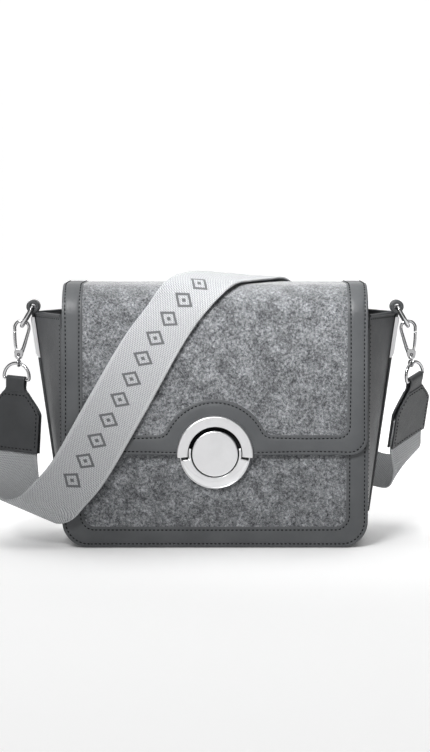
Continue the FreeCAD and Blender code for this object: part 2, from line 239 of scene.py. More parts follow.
def heading(points, i):
    """The direction of a line of points at one of them."""
    return (points[min(i + 1, len(points) - 1)] - points[max(i - 1, 0)]).normalized()


def revolve(profile, middle, start, end, steps, name, material):
    """A closed (radius, depth) profile turned about Y, through start to end degrees from +X to +Z."""
    full = end - start == 360
    rings = []
    for i in range(steps if full else steps + 1):
        a = math.radians(start + (end - start) * i / steps)
        rings.append([middle + polar(r, a, d) for r, d in profile])
    return loft(name, rings, material, closed=full)


def turned(profile, middle, axis, steps, name, material):
    """An open (radius, depth) profile turned all the way about an axis, its two ends capped flat."""
    verts, other, n = [], axis.cross(X), len(profile)
    for a in circle(steps):
        verts += [middle + (X * math.cos(a) + other * math.sin(a)) * r + axis * d for r, d in profile]
    faces = grid_faces(steps, n, closed_rows=True)
    faces += [tuple(i * n + end for i in range(steps)) for end in (0, n - 1)]
    return make_mesh(name, verts, faces, material)


def tube(name, path, radius, material, closed=False, sides=16, flat=1.0, flat_axis=Y):
    """A round wire along a path of points; radius may be one number or one for each point."""
    n, rings = len(path), []
    for i, p in enumerate(path):
        before = path[(i - 1) % n] if closed or i else path[0]
        after = path[(i + 1) % n] if closed or i < n - 1 else path[-1]
        along = (after - before).normalized()
        side = (flat_axis - along * flat_axis.dot(along)).normalized()
        other = along.cross(side)
        r = radius[i] if isinstance(radius, list) else radius
        rings.append([p + side * (math.cos(a) * r * flat) + other * (math.sin(a) * r) for a in circle(sides)])
    return loft(name, rings, material, closed)


def join(name, *parts):
    """One object from several."""
    with bpy.context.temp_override(active_object=parts[0], selected_editable_objects=list(parts)):
        bpy.ops.object.join()
    parts[0].name = name
    parts[0].data.name = name
    return parts[0]


# ---- where flat patterns lie on the bag ----
# A pattern point is (u, v, h): across, up, and above the surface.

def on_front(u, v, h):
    return Vector((u, -HALF_D - h, v))


def on_back(u, v, h):
    return Vector((u, HALF_D + h, v))


FLAP_STRAIGHT = FLAP_TOP_Z - FRONT_R - FLAP_EDGE_Z
FRONT_ARC = FRONT_R * math.pi / 2
FLAP_LEVEL = (HALF_D - BACK_R) - (FLAP_Y + FRONT_R)
BACK_ARC = BACK_R * math.pi / 2
FLAP_LEN = FLAP_STRAIGHT + FRONT_ARC + FLAP_LEVEL + BACK_ARC


def on_flap(u, v, h):
    """The flap's outer face, unrolled: v runs from its front edge up over the top to the hinge."""
    if v < FLAP_STRAIGHT:
        return Vector((u, FLAP_Y - h, FLAP_EDGE_Z + v))
    v -= FLAP_STRAIGHT
    if v < FRONT_ARC:
        a = v / FRONT_R
        r = FRONT_R + h
        return Vector((u, FLAP_Y + FRONT_R - r * math.cos(a), FLAP_TOP_Z - FRONT_R + r * math.sin(a)))
    v -= FRONT_ARC
    if v < FLAP_LEVEL:
        return Vector((u, FLAP_Y + FRONT_R + v, FLAP_TOP_Z + h))
    a = (v - FLAP_LEVEL) / BACK_R
    r = BACK_R + h
    return Vector((u, HALF_D - BACK_R + r * math.sin(a), FLAP_TOP_Z - BACK_R + r * math.cos(a)))


def line(a, b, n):
    return [Vector((a[0] + (b[0] - a[0]) * i / n, a[1] + (b[1] - a[1]) * i / n)) for i in range(n)]


def arc(cx, cy, r, a0, a1, n):
    return [Vector((cx + r * math.cos(math.radians(a0 + (a1 - a0) * i / n)),
                    cy + r * math.sin(math.radians(a0 + (a1 - a0) * i / n)))) for i in range(n)]


def outline(half, v0, v1, r_base, r_top, bump=None):
    """A closed loop round a rectangle with round corners, counted the same whatever its size.
    bump (radius, centre v) lets an arch into the middle of the lower edge."""
    if bump:
        radius, cv = bump
        reach = math.sqrt(radius ** 2 - (cv - v0) ** 2)
        tilt = math.degrees(math.atan2(v0 - cv, reach))
        base = line((-half + r_base, v0), (-reach, v0), 26) + arc(0, cv, radius, 180 - tilt, tilt, 44)
        base += line((reach, v0), (half - r_base, v0), 26)
    else:
        base = line((-half + r_base, v0), (half - r_base, v0), 96)
    loop = base + arc(half - r_base, v0 + r_base, r_base, -90, 0, 14)
    loop += line((half, v0 + r_base), (half, v1 - r_top), 90)
    loop += arc(half - r_top, v1 - r_top, r_top, 0, 90, 10)
    loop += line((half - r_top, v1), (-half + r_top, v1), 96)
    loop += arc(-half + r_top, v1 - r_top, r_top, 90, 180, 10)
    loop += line((-half, v1 - r_top), (-half, v0 + r_base), 90)
    return loop + arc(-half + r_base, v0 + r_base, r_base, 180, 270, 14)


def relaxed(loop, near, reach, rounds):
    """The loop with its points softened near the given ones."""
    for _ in range(rounds):
        loop = [p if min((p - q).length for q in near) > reach
                else p * 0.5 + (loop[i - 1] + loop[(i + 1) % len(loop)]) * 0.25 for i, p in enumerate(loop)]
    return loop


CROWN = 0.22
EDGE_ROWS = ((0.0, -0.62), (0.1, -0.34), (0.3, -0.12), (0.62, -0.02), (1.3, 0.03), (STITCH_IN - 0.75, 0.02),
             (STITCH_IN - 0.25, -0.13), (STITCH_IN + 0.25, -0.13), (STITCH_IN + 0.75, 0.03))


def leather_frame(name, outer, inner, place, thickness):
    """A leather border between two loops: rolled edges, sunk stitch lines and a soft crown between them."""
    rings = []
    for o, i in zip(outer, inner):
        width = (i - o).length
        d = (i - o) / width
        row = [(o, -thickness)] + [(o + d * inset, h) for inset, h in EDGE_ROWS]
        row += [(o + d * width * t, CROWN * math.sin(math.pi * t) ** 0.6) for t in (0.32, 0.5, 0.68)]
        row += [(i - d * inset, h) for inset, h in reversed(EDGE_ROWS)] + [(i, -thickness)]
        rings.append([])
        for p, h in row:
            soft = wobble((p.x, p.y, 3), 17, 0.10) + wobble((p.x, p.y, 9), 5, 0.03) if h > -0.5 else 0
            rings[-1].append(place(p.x, p.y, h + soft))
    return loft(name, rings, LEATHER, closed=True)


def felt_patch(name, place, half, v0, v1, hole):
    """A felt panel's face, which runs under its frame: a fine grid with a slightly uneven surface."""
    cols, rows = int(2 * half / FELT_STEP) + 1, int((v1 - v0) / FELT_STEP) + 1
    verts, skip = [], set()
    for i in range(rows):
        v = v0 + (v1 - v0) * i / (rows - 1)
        for j in range(cols):
            u = -half + 2 * half * j / (cols - 1)
            verts.append(place(u, v, -FELT_SUNK + wobble((u, v, 0), 2.1, 0.16) + wobble((u, v, 5), 14, 0.16)))
            if hole and math.hypot(u - hole[0], v - hole[1]) < hole[2]:
                skip.add(len(verts) - 1)
    faces = [f for f in grid_faces(rows, cols) if not skip.intersection(f)]
    patch = make_mesh(name, verts, faces, FELT)
    solid = patch.modifiers.new("thickness", "SOLIDIFY")
    solid.thickness = FELT_T * MM
    solid.offset = -1
    return patch


def stitch_row(path, place, height=-0.02, skip=None):
    """Points and faces of a row of single stitches along a pattern path of (u, v) points."""
    verts, faces = [], []
    walked, want = 0.0, STITCH_PITCH / 2
    for a, b in zip(path, path[1:]):
        run = (b - a).length
        while run > 1e-6 and walked + run >= want:
            d = (b - a) / run
            p = a + d * (want - walked)
            want += STITCH_PITCH
            if not (skip and skip(p)):
                add_stitch(verts, faces, p, d, place, height)
        walked += run
    return verts, faces


def add_stitch(verts, faces, p, d, place, height):
    """One thread: a short rounded rod that dips into the leather at both ends."""
    side = Vector((-d.y, d.x))
    base = len(verts)
    for along, fat, lift in STITCH_RINGS:
        for a in circle(6):
            q = p + d * (along * STITCH_LEN) + side * (math.cos(a) * STITCH_R * fat)
            verts.append(place(q.x, q.y, height + lift + math.sin(a) * STITCH_R * fat))
    faces += grid_faces(len(STITCH_RINGS), 6, closed_cols=True, start=base)
    faces += [tuple(base + end + k for k in range(6)) for end in (0, 24)]


def stitches(name, rows):
    """One object from several stitch rows."""
    verts, faces = [], []
    for v, f in rows:
        faces += [tuple(len(verts) + k for k in face) for face in f]
        verts += v
    return make_mesh(name, verts, faces, THREAD)


def stitch_line(loop, other):
    """The loop moved in towards the other one to where it is stitched, closed."""
    path = [p + (q - p).normalized() * STITCH_IN for p, q in zip(loop, other)]
    return path + path[:1]


# ---- materials ----

def node_material(name):
    material = bpy.data.materials.new(name)
    material.use_nodes = True
    return material, material.node_tree.nodes["Principled BSDF"]


def feed(node, inputs):
    """Links each socket given to the node's input, and sets each number or colour on the input itself."""
    for name, value in inputs.items():
        socket = node.inputs[name]
        if isinstance(value, bpy.types.NodeSocket):
            node.id_data.links.new(value, socket)
        else:
            socket.default_value = (*value, 1) if socket.type == "RGBA" else value


def add(kind, inputs, **settings):
    """The first output in use of a new node with these settings and inputs, one of which is a socket."""
    tree = next(value.id_data for value in inputs.values() if isinstance(value, bpy.types.NodeSocket))
    node = tree.nodes.new("ShaderNode" + kind)
    for name, value in settings.items():
        setattr(node, name, value)
    feed(node, inputs)
    return next(socket for socket in node.outputs if socket.enabled)


def coords(shader, source="Object"):
    return shader.id_data.nodes.new("ShaderNodeTexCoord").outputs[source]


def noise_node(vector, scale, detail=3.0, rough=0.55, stretch=None):
    if stretch:
        vector = add("Mapping", {"Vector": vector, "Scale": stretch})
    return add("TexNoise", {"Vector": vector, "Scale": scale, "Detail": detail, "Roughness": rough})


def ramp(value, stops):
    """A colour ramp through (position, colour) stops; a colour may be one grey number."""
    node = value.id_data.nodes.new("ShaderNodeValToRGB")
    elements = node.color_ramp.elements
    while len(elements) < len(stops):
        elements.new(0.5)
    for element, (position, colour) in zip(elements, stops):
        element.position = position
        element.color = (*(colour if isinstance(colour, tuple) else (colour,) * 3), 1)
    feed(node, {"Fac": value})
    return node.outputs["Color"]


def blend_colours(a, b, factor, mode="MIX"):
    return add("Mix", {"Factor": factor, "A": a, "B": b}, data_type="RGBA", blend_type=mode)


def maths(operation, *values):
    return add("Math", dict(enumerate(values)), operation=operation)


def bumps(heights):
    """A normal with (height socket, depth in millimetres) bumps laid one on another."""
    under = {}
    for height, depth in heights:
        inputs = {"Height": height, "Distance": depth * MM, "Strength": 1.0}
        under = {"Normal": add("Bump", {**inputs, **under})}
    return under["Normal"]


def around(value, spread, middle):
    """A noise value spread about a middle value."""
    return maths("ADD", maths("MULTIPLY", value, spread), middle - spread / 2)


def leather_material(name, dark, light, roughness):
    """Smooth dressed leather: fine pebbled grain with pores, cloudy colour, a soft gloss that varies."""
    material, shader = node_material(name)
    where = coords(shader)
    cells = add("TexVoronoi", {"Vector": where, "Scale": 1150}, feature="DISTANCE_TO_EDGE")
    grain = ramp(cells, ((0.0, 0.0), (0.22, 1.0)))
    feed(shader, {"Base Color": ramp(noise_node(where, 38, 4), ((0.3, dark), (0.72, light))),
                  "Roughness": around(noise_node(where, 120, 3), 0.16, roughness),
                  "Specular IOR Level": 0.42,
                  "Normal": bumps(((noise_node(where, 260, 3), 0.12), (grain, 0.035)))})
    return material


def felt_material(name):
    """Melange wool felt: cloudy mid grey with matted light and dark fibres in all directions."""
    material, shader = node_material(name)
    where = coords(shader)
    speckle = noise_node(where, 560, 5, 0.82)
    base = ramp(speckle, ((0.37, (0.022, 0.024, 0.027)), (0.46, (0.104, 0.109, 0.116)),
                                (0.55, (0.184, 0.190, 0.198)), (0.66, (0.33, 0.338, 0.348))))
    clouds = noise_node(where, 90, 5, 0.72)
    base = blend_colours(base, ramp(clouds, ((0.36, 0.10), (0.64, 0.90))), 0.65, "SOFT_LIGHT")
    heights = []
    for k, stretch in enumerate(((1, 5.5, 2.0), (5.5, 1.3, 2.0), (3.0, 1.0, 4.5))):
        rotation = (0.5 * k, 0.9 + 0.7 * k, 0.4 - 0.6 * k)
        lay = add("VectorRotate", {"Vector": where, "Rotation": rotation}, rotation_type="EULER_XYZ")
        fibres = noise_node(lay, 420, 4, 0.65, stretch)
        light = ramp(fibres, ((0.60, 0.0), (0.66, 1.0)))
        deep = ramp(fibres, ((0.34, 1.0), (0.40, 0.0)))
        base = blend_colours(base, (0.46, 0.47, 0.485), maths("MULTIPLY", light, 0.3))
        base = blend_colours(base, (0.030, 0.032, 0.036), maths("MULTIPLY", deep, 0.5))
        heights.append((fibres, 0.3))
    feed(shader, {"Base Color": base, "Normal": bumps(heights), "Roughness": 0.93,
                  "Specular IOR Level": 0.2, "Sheen Weight": 0.5, "Sheen Roughness": 0.5})
    return material


def wave(value, pitch):
    """A sine from nought to one that repeats every pitch millimetres."""
    turns = maths("MULTIPLY", value, 2 * math.pi / (pitch * MM))
    return maths("ADD", maths("MULTIPLY", maths("SINE", turns), 0.5), 0.5)


def within(value, low, high, soft):
    """One between low and high, nought outside, with soft edges."""
    steps = [add("MapRange", {"Value": value, "From Min": edge - soft, "From Max": edge + soft,
                                    "To Min": before, "To Max": 1 - before}, interpolation_type="SMOOTHSTEP")
             for edge, before in ((low, 0), (high, 1))]
    return maths("MULTIPLY", *steps)


def webbing_material(name, marks=None):
    """Silver-grey twill webbing with plain selvedges; marks (start, end) weaves dark lozenges between."""
    material, shader = node_material(name)
    u, v = add("SeparateXYZ", {0: coords(shader, "UV")}).node.outputs[:2]
    rib = wave(maths("ADD", u, maths("MULTIPLY", v, 0.75)), RIB_PITCH)
    threads = wave(v, THREAD_PITCH)
    weave = maths("MULTIPLY", maths("ADD", rib, threads), 0.5)
    base = ramp(weave, ((0.15, (0.20, 0.206, 0.215)), (0.55, (0.43, 0.44, 0.45)),
                              (0.9, (0.52, 0.53, 0.54))))
    dust = noise_node(coords(shader), 700, 4)
    base = blend_colours(base, ramp(dust, ((0.3, 0.38), (0.7, 0.62))), 0.6, "SOFT_LIGHT")
    edge = maths("ABSOLUTE", u)
    selvedge = within(edge, 0.0180, 0.03, 0.0003)
    base = blend_colours(base, (0.47, 0.48, 0.49), maths("MULTIPLY", selvedge, 0.6))
    if marks:
        phase = maths("PINGPONG", v, LOZENGE_PITCH / 2 * MM)
        reach = maths("ADD", phase, maths("MULTIPLY", edge, 0.80))
        mark = maths("ADD", within(reach, 0.0043, 0.0065, 0.0002),
                     within(reach, -1, 0.0016, 0.0002))
        mark = maths("MULTIPLY", mark, within(v, *marks, 0.0001))
        base = blend_colours(base, (0.085, 0.088, 0.093), maths("MULTIPLY", mark, 0.9))
    feed(shader, {"Base Color": base, "Normal": bumps(((rib, 0.22), (threads, 0.12), (dust, 0.12))),
                  "Roughness": 0.82, "Specular IOR Level": 0.28, "Sheen Weight": 0.2})
    return material


def metal_material(name, colour, roughness, scratch, rim_tint):
    """Plated metal, slightly cloudy and finely scratched, darker where it turns away."""
    material, shader = node_material(name)
    where = coords(shader)
    haze = noise_node(where, 90, 3)
    lines = noise_node(where, 800, 2, 0.5, (0.15, 1.0, 3.0))
    feed(shader, {"Base Color": ramp(haze, ((0.3, tuple(c * 0.94 for c in colour)), (0.7, colour))),
                  "Metallic": 1.0, "Specular Tint": rim_tint, "Roughness": around(lines, 0.1, roughness),
                  "Normal": bumps(((lines, scratch), (noise_node(where, 60, 2), 0.05)))})
    return material


def cloth_material(name, dark, light):
    """A plain fine weave for linings and threads, a dull grain for boards, and the black that paints shade in
    the lock's well and the hooks' pin recesses.
    """
    material, shader = node_material(name)
    where = coords(shader)
    warp = noise_node(where, 900, 2, 0.5, (1, 1, 0.3))
    weft = noise_node(where, 900, 2, 0.5, (0.3, 1, 1))
    weave = maths("MULTIPLY", maths("ADD", warp, weft), 0.5)
    feed(shader, {"Base Color": ramp(weave, ((0.35, dark), (0.65, light))),
                  "Normal": bumps(((weave, 0.12),)), "Roughness": 0.88, "Specular IOR Level": 0.15})
    return material


LEATHER = leather_material("leather_grey", (0.062, 0.065, 0.069), (0.084, 0.088, 0.092), 0.43)
# The winged sides' leather is the same leather made darker: painted shade for sides that face away from the
# lamps.
LEATHER_SHADED_SIDE = leather_material("leather_side_painted_shade", (0.042, 0.044, 0.047), (0.060, 0.063, 0.066), 0.45)
LEATHER_DARK = leather_material("leather_shadow", (0.030, 0.032, 0.034), (0.045, 0.047, 0.050), 0.46)
FELT = felt_material("felt_melange")
WEBBING = webbing_material("webbing_twill")
THREAD = cloth_material("thread", (0.006, 0.0065, 0.007), (0.018, 0.019, 0.020))
LINING = cloth_material("lining_cloth", (0.10, 0.104, 0.11), (0.17, 0.175, 0.18))
CHROME = metal_material("polished_silver", (0.66, 0.66, 0.67), 0.17, 0.01, (0.10, 0.10, 0.11))
SATIN = metal_material("satin_silver", (0.86, 0.86, 0.87), 0.33, 0.02, (0.30, 0.30, 0.31))
CLIP = metal_material("clip_silver", (0.80, 0.80, 0.81), 0.30, 0.02, (0.40, 0.40, 0.41))
STEEL = metal_material("plain_steel", (0.42, 0.42, 0.43), 0.36, 0.03, (0.20, 0.20, 0.21))
# Black that paints shade: the lock's well round the button and the hooks' pin recesses.
SHADE_BLACK = cloth_material("painted_shade_black", (0.006, 0.006, 0.007), (0.012, 0.012, 0.013))
BOARD = cloth_material("board_edge", (0.05, 0.052, 0.055), (0.08, 0.083, 0.086))


# ---- bag body ----

def dress(name, body, outer, inner, place, thickness, felt, nodes=(), skip=None):
    """A felt face in a stitched leather border; felt is its half width, low and high ends and hole."""
    border = leather_frame(f"{name}_border", outer, inner, place, thickness)
    attach(border, body, "leather", f"{name}_leather_frame", *nodes)
    attach(felt_patch(f"{name}_felt", place, *felt), body, "felt", f"{name}_felt_panel")
    rows = [stitch_row(stitch_line(outer, inner), place, skip=skip),
            stitch_row(stitch_line(inner, outer), place)]
    attach(stitches(f"{name}_stitches", rows), body, "leather")


def panels():
    """The front and back panels; the front's felt is open behind the lock."""
    for side, place, hole in (("front", on_front, (0, LOCK_Z, 15)), ("back", on_back, None)):
        top = PANEL_TOP[side]
        outer = outline(HALF_W, 0, top, CORNER_R, 2.0)
        inner = outline(HALF_W - BORDER_SIDE, BORDER_BASE, top - 10, FELT_R, FELT_R)
        felt = (HALF_W - BORDER_SIDE + 2, BORDER_BASE - 2, top - 8, hole)
        dress(side, "case", outer, inner, place, 1.2, felt)


def flap():
    """The flap: one bent skin with an arch over the lock, its felt window and its stitches."""
    outer = outline(FLAP_HALF, 0.0, FLAP_LEN - 0.4, FLAP_CORNER_R, 0.8, (NOTCH_R, LOCK_V))
    inner = outline(FLAP_HALF - FLAP_BORDER, FLAP_BORDER_BASE, FELT_END, FLAP_FELT_R, FLAP_FELT_R,
                    (BUMP_R, LOCK_V))
    reach = math.sqrt(BUMP_R ** 2 - (LOCK_V - FLAP_BORDER_BASE) ** 2)
    inner = relaxed(inner, [Vector((s * reach, FLAP_BORDER_BASE)) for s in (-1, 1)], 2.5, 6)
    felt = (FLAP_HALF - FLAP_BORDER + 2, FLAP_BORDER_BASE - 2, FELT_END + 2, (0, LOCK_V, NOTCH_R + 4))

    def under_ring(p):
        return math.hypot(p.x, p.y - LOCK_V) < RING_OUT_R + 1
    dress("flap", "flap", outer, inner, on_flap, FLAP_SKIN, felt, ("flap_hinge_bead",), under_ring)


def fold_x(z):
    return HALF_W + WING * z / MOUTH_Z


def fold_ring(s, z, section):
    """A section of (out, y) points on a side's fold at a level."""
    return [Vector((s * (fold_x(z) + out), y, z)) for out, y in section]


def on_gusset(sign_x, sign_y, s, z, h):
    """A point of a winged side: s runs from the panel's edge at 0 to the outward fold at 1, h is outward."""
    billow = 1.1 * math.sin(math.pi * s) * math.sin(math.pi * min(1.0, max(0.0, (z - CORNER_R) / 150)))
    billow += wobble((s * 30, z, sign_x * 40 + sign_y * 90), 34, 0.5) * math.sin(math.pi * s)
    width = Vector((fold_x(z) - HALF_W, -INNER_Y))
    normal = Vector((INNER_Y, width.x)).normalized()
    x = HALF_W + (fold_x(z) - HALF_W) * s + normal.x * (h + billow)
    y = INNER_Y * (1 - s) + normal.y * (h + billow) * (1 - s ** 8)
    return Vector((sign_x * x, sign_y * y, z))


def gussets():
    """Winged sides: two bowed leather leaves with turned, stitched mouths, and a sewn fold between them."""
    cols, top = 26, MOUTH_Z - 0.6
    outside = [(CORNER_R + (top - CORNER_R) * i / 60, 0.0) for i in range(61)]
    turned_in = [(MOUTH_Z - 0.15, -0.25), (MOUTH_Z, -0.75)]
    inside = [(z, -GUSSET_T - h - 0.1) for z, h in reversed(turned_in)]
    inside += [(z, -GUSSET_T + 0.35) for z, _ in reversed(outside)]
    levels = outside + turned_in + inside
    mouth = [(0.09 + 0.07 * k, MOUTH_Z - 3.4) for k in range(13)]
    count = int((MOUTH_Z - CORNER_R - 8) / STITCH_PITCH)
    edge = [(0.06, CORNER_R + 4 + k * STITCH_PITCH) for k in range(count)]
    for side, sx in SIDES:
        for half, sy in (("front", -1), ("back", 1)):
            def place(u, v, h, sx=sx, sy=sy):
                return on_gusset(sx, sy, u, v, h)
            verts = [place(0.012 + 0.976 * j / (cols - 1), z, h) for z, h in levels for j in range(cols)]
            faces = grid_faces(len(levels), cols, closed_rows=True)
            faces += [tuple(i * cols + e for i in range(len(levels))) for e in (0, cols - 1)]
            # The leaves and their lips take the darker side leather, which paints shade on them.
            leaf = make_mesh(f"gusset_{side}_{half}_leather", verts, faces, LEATHER_SHADED_SIDE)
            attach(leaf, "case", "leather", f"gusset_{side}_{half}")
            lip = [place(0.02 + 0.95 * j / 40, MOUTH_Z - 0.9, -0.35) for j in range(41)]
            binding = tube(f"gusset_{side}_{half}_lip", lip, 1.25, LEATHER_SHADED_SIDE, sides=14, flat_axis=Z)
            attach(binding, "case", "leather")
            rows = [leaf_stitches(place, mouth, (0.025, 0), (0, 0.42, 0.42)),
                    leaf_stitches(place, edge, (0, 1.05), (0.0095, 0, 0.4))]
            attach(stitches(f"gusset_{side}_{half}_stitches", rows), "case", "leather")
        welt(side, sx)


def leaf_stitches(place, spots, reach, girth):
    """Stitches at (u, v) spots of a side's leaf; u isn't in millimetres, so each axis has its own size."""
    verts, faces = [], []
    for u, v in spots:
        base = len(verts)
        for along, fat, lift in ((-1, 0.25, -0.3), (0, 1.0, 0.1), (1, 0.25, -0.3)):
            for a in circle(6):
                across, out = math.cos(a) * fat, math.sin(a) * fat
                verts.append(place(u + along * reach[0] + across * girth[0],
                                   v + along * reach[1] + across * girth[1], lift + out * girth[2]))
        faces += grid_faces(3, 6, closed_cols=True, start=base)
    return verts, faces


def welt(side, sx):
    """The sewn edge of a winged side: two leather layers and their edge paint."""
    count, low, high = 64, CORNER_R + 1, CLIP_TOP_Z - 15
    profile = ((-0.5, 1.15), (0.6, 1.15), (1.3, 0.95), (1.6, 0.45), (1.6, -0.45), (1.3, -0.95), (0.6, -1.15),
               (-0.5, -1.15))
    rings = []
    for i in range(count):
        z = low + (high - low) * i / (count - 1)
        shift = wobble((0, z, sx), 20, 0.1)
        rings.append(fold_ring(sx, z, [(out, y + shift) for out, y in profile]))
    attach(loft(f"gusset_{side}_welt", rings, LEATHER_DARK), "case", "leather", f"gusset_seam_{side}")


# ---- lock ----

def rim(points, radius, base):
    """A (radius, depth) profile with rounded corners, moved to a base; a point may have its own rounding."""
    out, n, steps = [], len(points), 5
    for i, p in enumerate(points):
        a, q, b = (Vector(points[k % n][:2]) for k in (i - 1, i, i + 1))
        r = min(p[2] if len(p) > 2 else radius, (a - q).length * 0.45, (b - q).length * 0.45)
        start, end = q + (a - q).normalized() * r, q + (b - q).normalized() * r
        for k in range(steps + 1):
            t = k / steps
            x, depth = start * (1 - t) ** 2 + q * (2 * t * (1 - t)) + end * t * t
            out.append((x, base + depth))
    return out


def lock():
    """Half ring on the flap, lower arc with its raised land on the body, and a plain round button."""
    middle, inner = Vector((0, 0, LOCK_Z)), BUTTON_R + 0.9
    drop = math.degrees(math.asin(2.4 / 23))
    ring = rim(((RING_IN_R, 0), (RING_IN_R, -2.6, 0.5), (RING_IN_R + 0.8, -3.2, 0.5),
                (RING_OUT_R - 0.6, -3.2, 0.4), (RING_OUT_R, -2.6, 0.4), (RING_OUT_R, 0)), 0.15, FLAP_Y)
    attach(revolve(ring, middle, -drop, 180 + drop, 96, "lock_arch", SATIN), "flap", "metal_bright",
           "lock_half_ring")
    lower = join("lock_lower", lower_arc(middle, inner), *lower_ends(middle, inner))
    attach(lower, "case", "metal_bright", "lock_base")
    # The well is black: painted shade for the gaps round the button.
    well = rim(((6.0, 0.8), (6.0, -1.2), (inner + 0.3, -1.2), (inner + 0.3, -0.5), (NOTCH_R - 0.3, -0.5),
                (NOTCH_R - 0.3, 0.8)), 0.05, -HALF_D)
    attach(revolve(well, middle, 0, 360, 96, "lock_well", SHADE_BLACK), "case", "metal_plain")
    low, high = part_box("lock_button")
    front, back = low.y / MM, low.y / MM + 2.6
    edge = ((1.6, 0), (0.9, 0), (0.55, 0.03), (0.22, 0.14), (0.04, 0.4), (0, 0.7))
    button = [(BUTTON_R - inset, front + depth) for inset, depth in edge]
    button += [(BUTTON_R, back), (2.2, back), (2.2, high.y / MM)]
    attach(turned(button, middle, Y, 128, "lock_button_disc", SATIN), "button", "metal_bright", "lock_button")
    lock_spring(middle, back + 0.5, -INNER_Y + 0.7)


def lower_arc(middle, inner):
    """The body's part of the ring: a raised land, centred higher than the ring, and a thin outer step."""
    rings, steps, start = [], 96, math.asin(4.4 / 22)
    for i in range(steps + 1):
        a = -start - (math.pi - 2 * start) * i / steps
        land = LAND_RISE * math.sin(a) + math.sqrt(LAND_R ** 2 - (LAND_RISE * math.cos(a)) ** 2)
        profile = rim(((inner, 0), (inner, -4.6, 0.35), (land, -4.6, 0.25), (land + 0.1, -3.7, 0.1),
                       (24.75, -2.9, 0.2), (24.95, -3.4, 0.15), (ARC_R, -3.3, 0.25), (ARC_R, 0)), 0.1, -HALF_D)
        rings.append([middle + polar(r, a, y) for r, y in profile])
    return loft("lock_lower_arc", rings, SATIN)


def lower_ends(middle, inner):
    """The arc's two tongues beside the button and its two thin outer ends."""
    lip = rim(((24.75, 0), (24.75, -3.3, 0.2), (ARC_R, -3.3, 0.2), (ARC_R, 0)), 0.1, -HALF_D)
    outer = RING_IN_R - 0.5
    tongue = rim(((inner, 0), (inner, -4.4, 0.3), (outer, -4.4, 0.3), (outer, 0)), 0.1, -HALF_D)
    ends = [revolve(tongue, middle, turn - 13, turn + 13, 20, f"lock_end_{turn}", SATIN) for turn in (182, -2)]
    return ends + [revolve(lip, middle, turn, turn + 14, 12, f"lock_lip_{turn}", SATIN) for turn in (186, -20)]


def lock_spring(middle, start, end):
    """The coil behind the button, made here at one length; the real one shortens as the button goes in."""
    turns, per, coil = 4.5, 32, []
    for i in range(int(turns * per) + 1):
        along = start + (end - start) * i / (turns * per)
        coil.append(middle + polar(SPRING_R, 2 * math.pi * i / per, along))
    spring = tube("lock_spring_coil", coil, SPRING_WIRE, STEEL, sides=10, flat_axis=Y)
    attach(spring, "case", "metal_plain", "lock_spring")
    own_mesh(spring)


# ---- fittings ----

def ring_path(half, height, corner, middle, along, up):
    """A D-shaped path: a straight bar with a round arch rising from its ends."""
    spring = height - half
    bar = 2 * (half - corner)
    points = [(-half + corner + bar * i / 14, 0) for i in range(14)]
    points += arc(half - corner, corner, corner, -90, 0, 8)
    points += [(half, corner + (spring - corner) * i / 4) for i in range(4)]
    points += arc(0, spring, half, 0, 180, 40)
    points += [(-half, spring + (corner - spring) * i / 4) for i in range(4)]
    points += arc(-half + corner, corner, corner, 180, 270, 8)
    return [middle + along * u + up * v for u, v in points]


def hooks():
    """Snap hooks: a forged bow on a barrel, a sprung gate on a pin, and a swivel eye."""
    for side, s in SIDES:
        at = Vector((s * HOOK_X, 0, HOOK_Z))

        def p(x, z, y=0.0, at=at, s=s):
            return at + Vector((-s * x, y, z))
        attach(hook_bow(side, at, p), f"hook_{side}", "metal_bright", f"hook_frame_{side}")
        pin_path = [p(0, 0, y) for y in (-2.0, -1.9, 1.9, 2.0)]
        pin = tube(f"hook_{side}_rivet", pin_path, [0.5, 0.75, 0.75, 0.5], STEEL, sides=20, flat_axis=Z)
        # The recess is black round the rivet's head: painted shade in the hole.
        recess = tube("recess", [p(0, 0, -1.8), p(0, 0, 1.8)], 1.15, SHADE_BLACK, sides=24, flat_axis=Z)
        attach(join(f"hook_{side}_rivet", pin, recess), f"hook_{side}", "metal_plain", f"hook_pin_{side}")
        gate = ((-0.2, -0.6), (-1.3, 2.4), (-2.2, 6.0), (-2.65, 11.0), (-2.8, 16.55))
        gate_line = smoothed([p(x, z) for x, z in gate], 8)
        girth = [0.75] * 8 + [0.8 + 0.38 * min(1.0, i / 8) for i in range(len(gate_line) - 8)]
        gate = tube(f"gate_{side}", gate_line, girth, CHROME, sides=14)
        hub = tube("hub", [p(0, 0, -0.6), p(0, 0, 0.6)], 1.5, CHROME, sides=24, flat_axis=Z)
        attach(join(f"hook_{side}_gate", gate, hub), f"gate_{side}", "metal_bright", f"hook_gate_{side}")
        attach(hook_eye(side, at), f"strap_end_{side}", "metal_bright", f"hook_swivel_{side}")
        lean = math.radians(D_LEAN)
        down = Vector((s * math.sin(lean), 0, -math.cos(lean)))
        path = ring_path(D_HALF, D_DEPTH, D_CORNER, Vector((s * PIVOT_X, 0, PIVOT_Z)), Y, down)
        ring = tube(f"dee_{side}", path, D_WIRE, CHROME, closed=True, sides=20, flat_axis=down.cross(Y))
        attach(ring, f"d_ring_{side}", "metal_bright", f"d_ring_{side}")


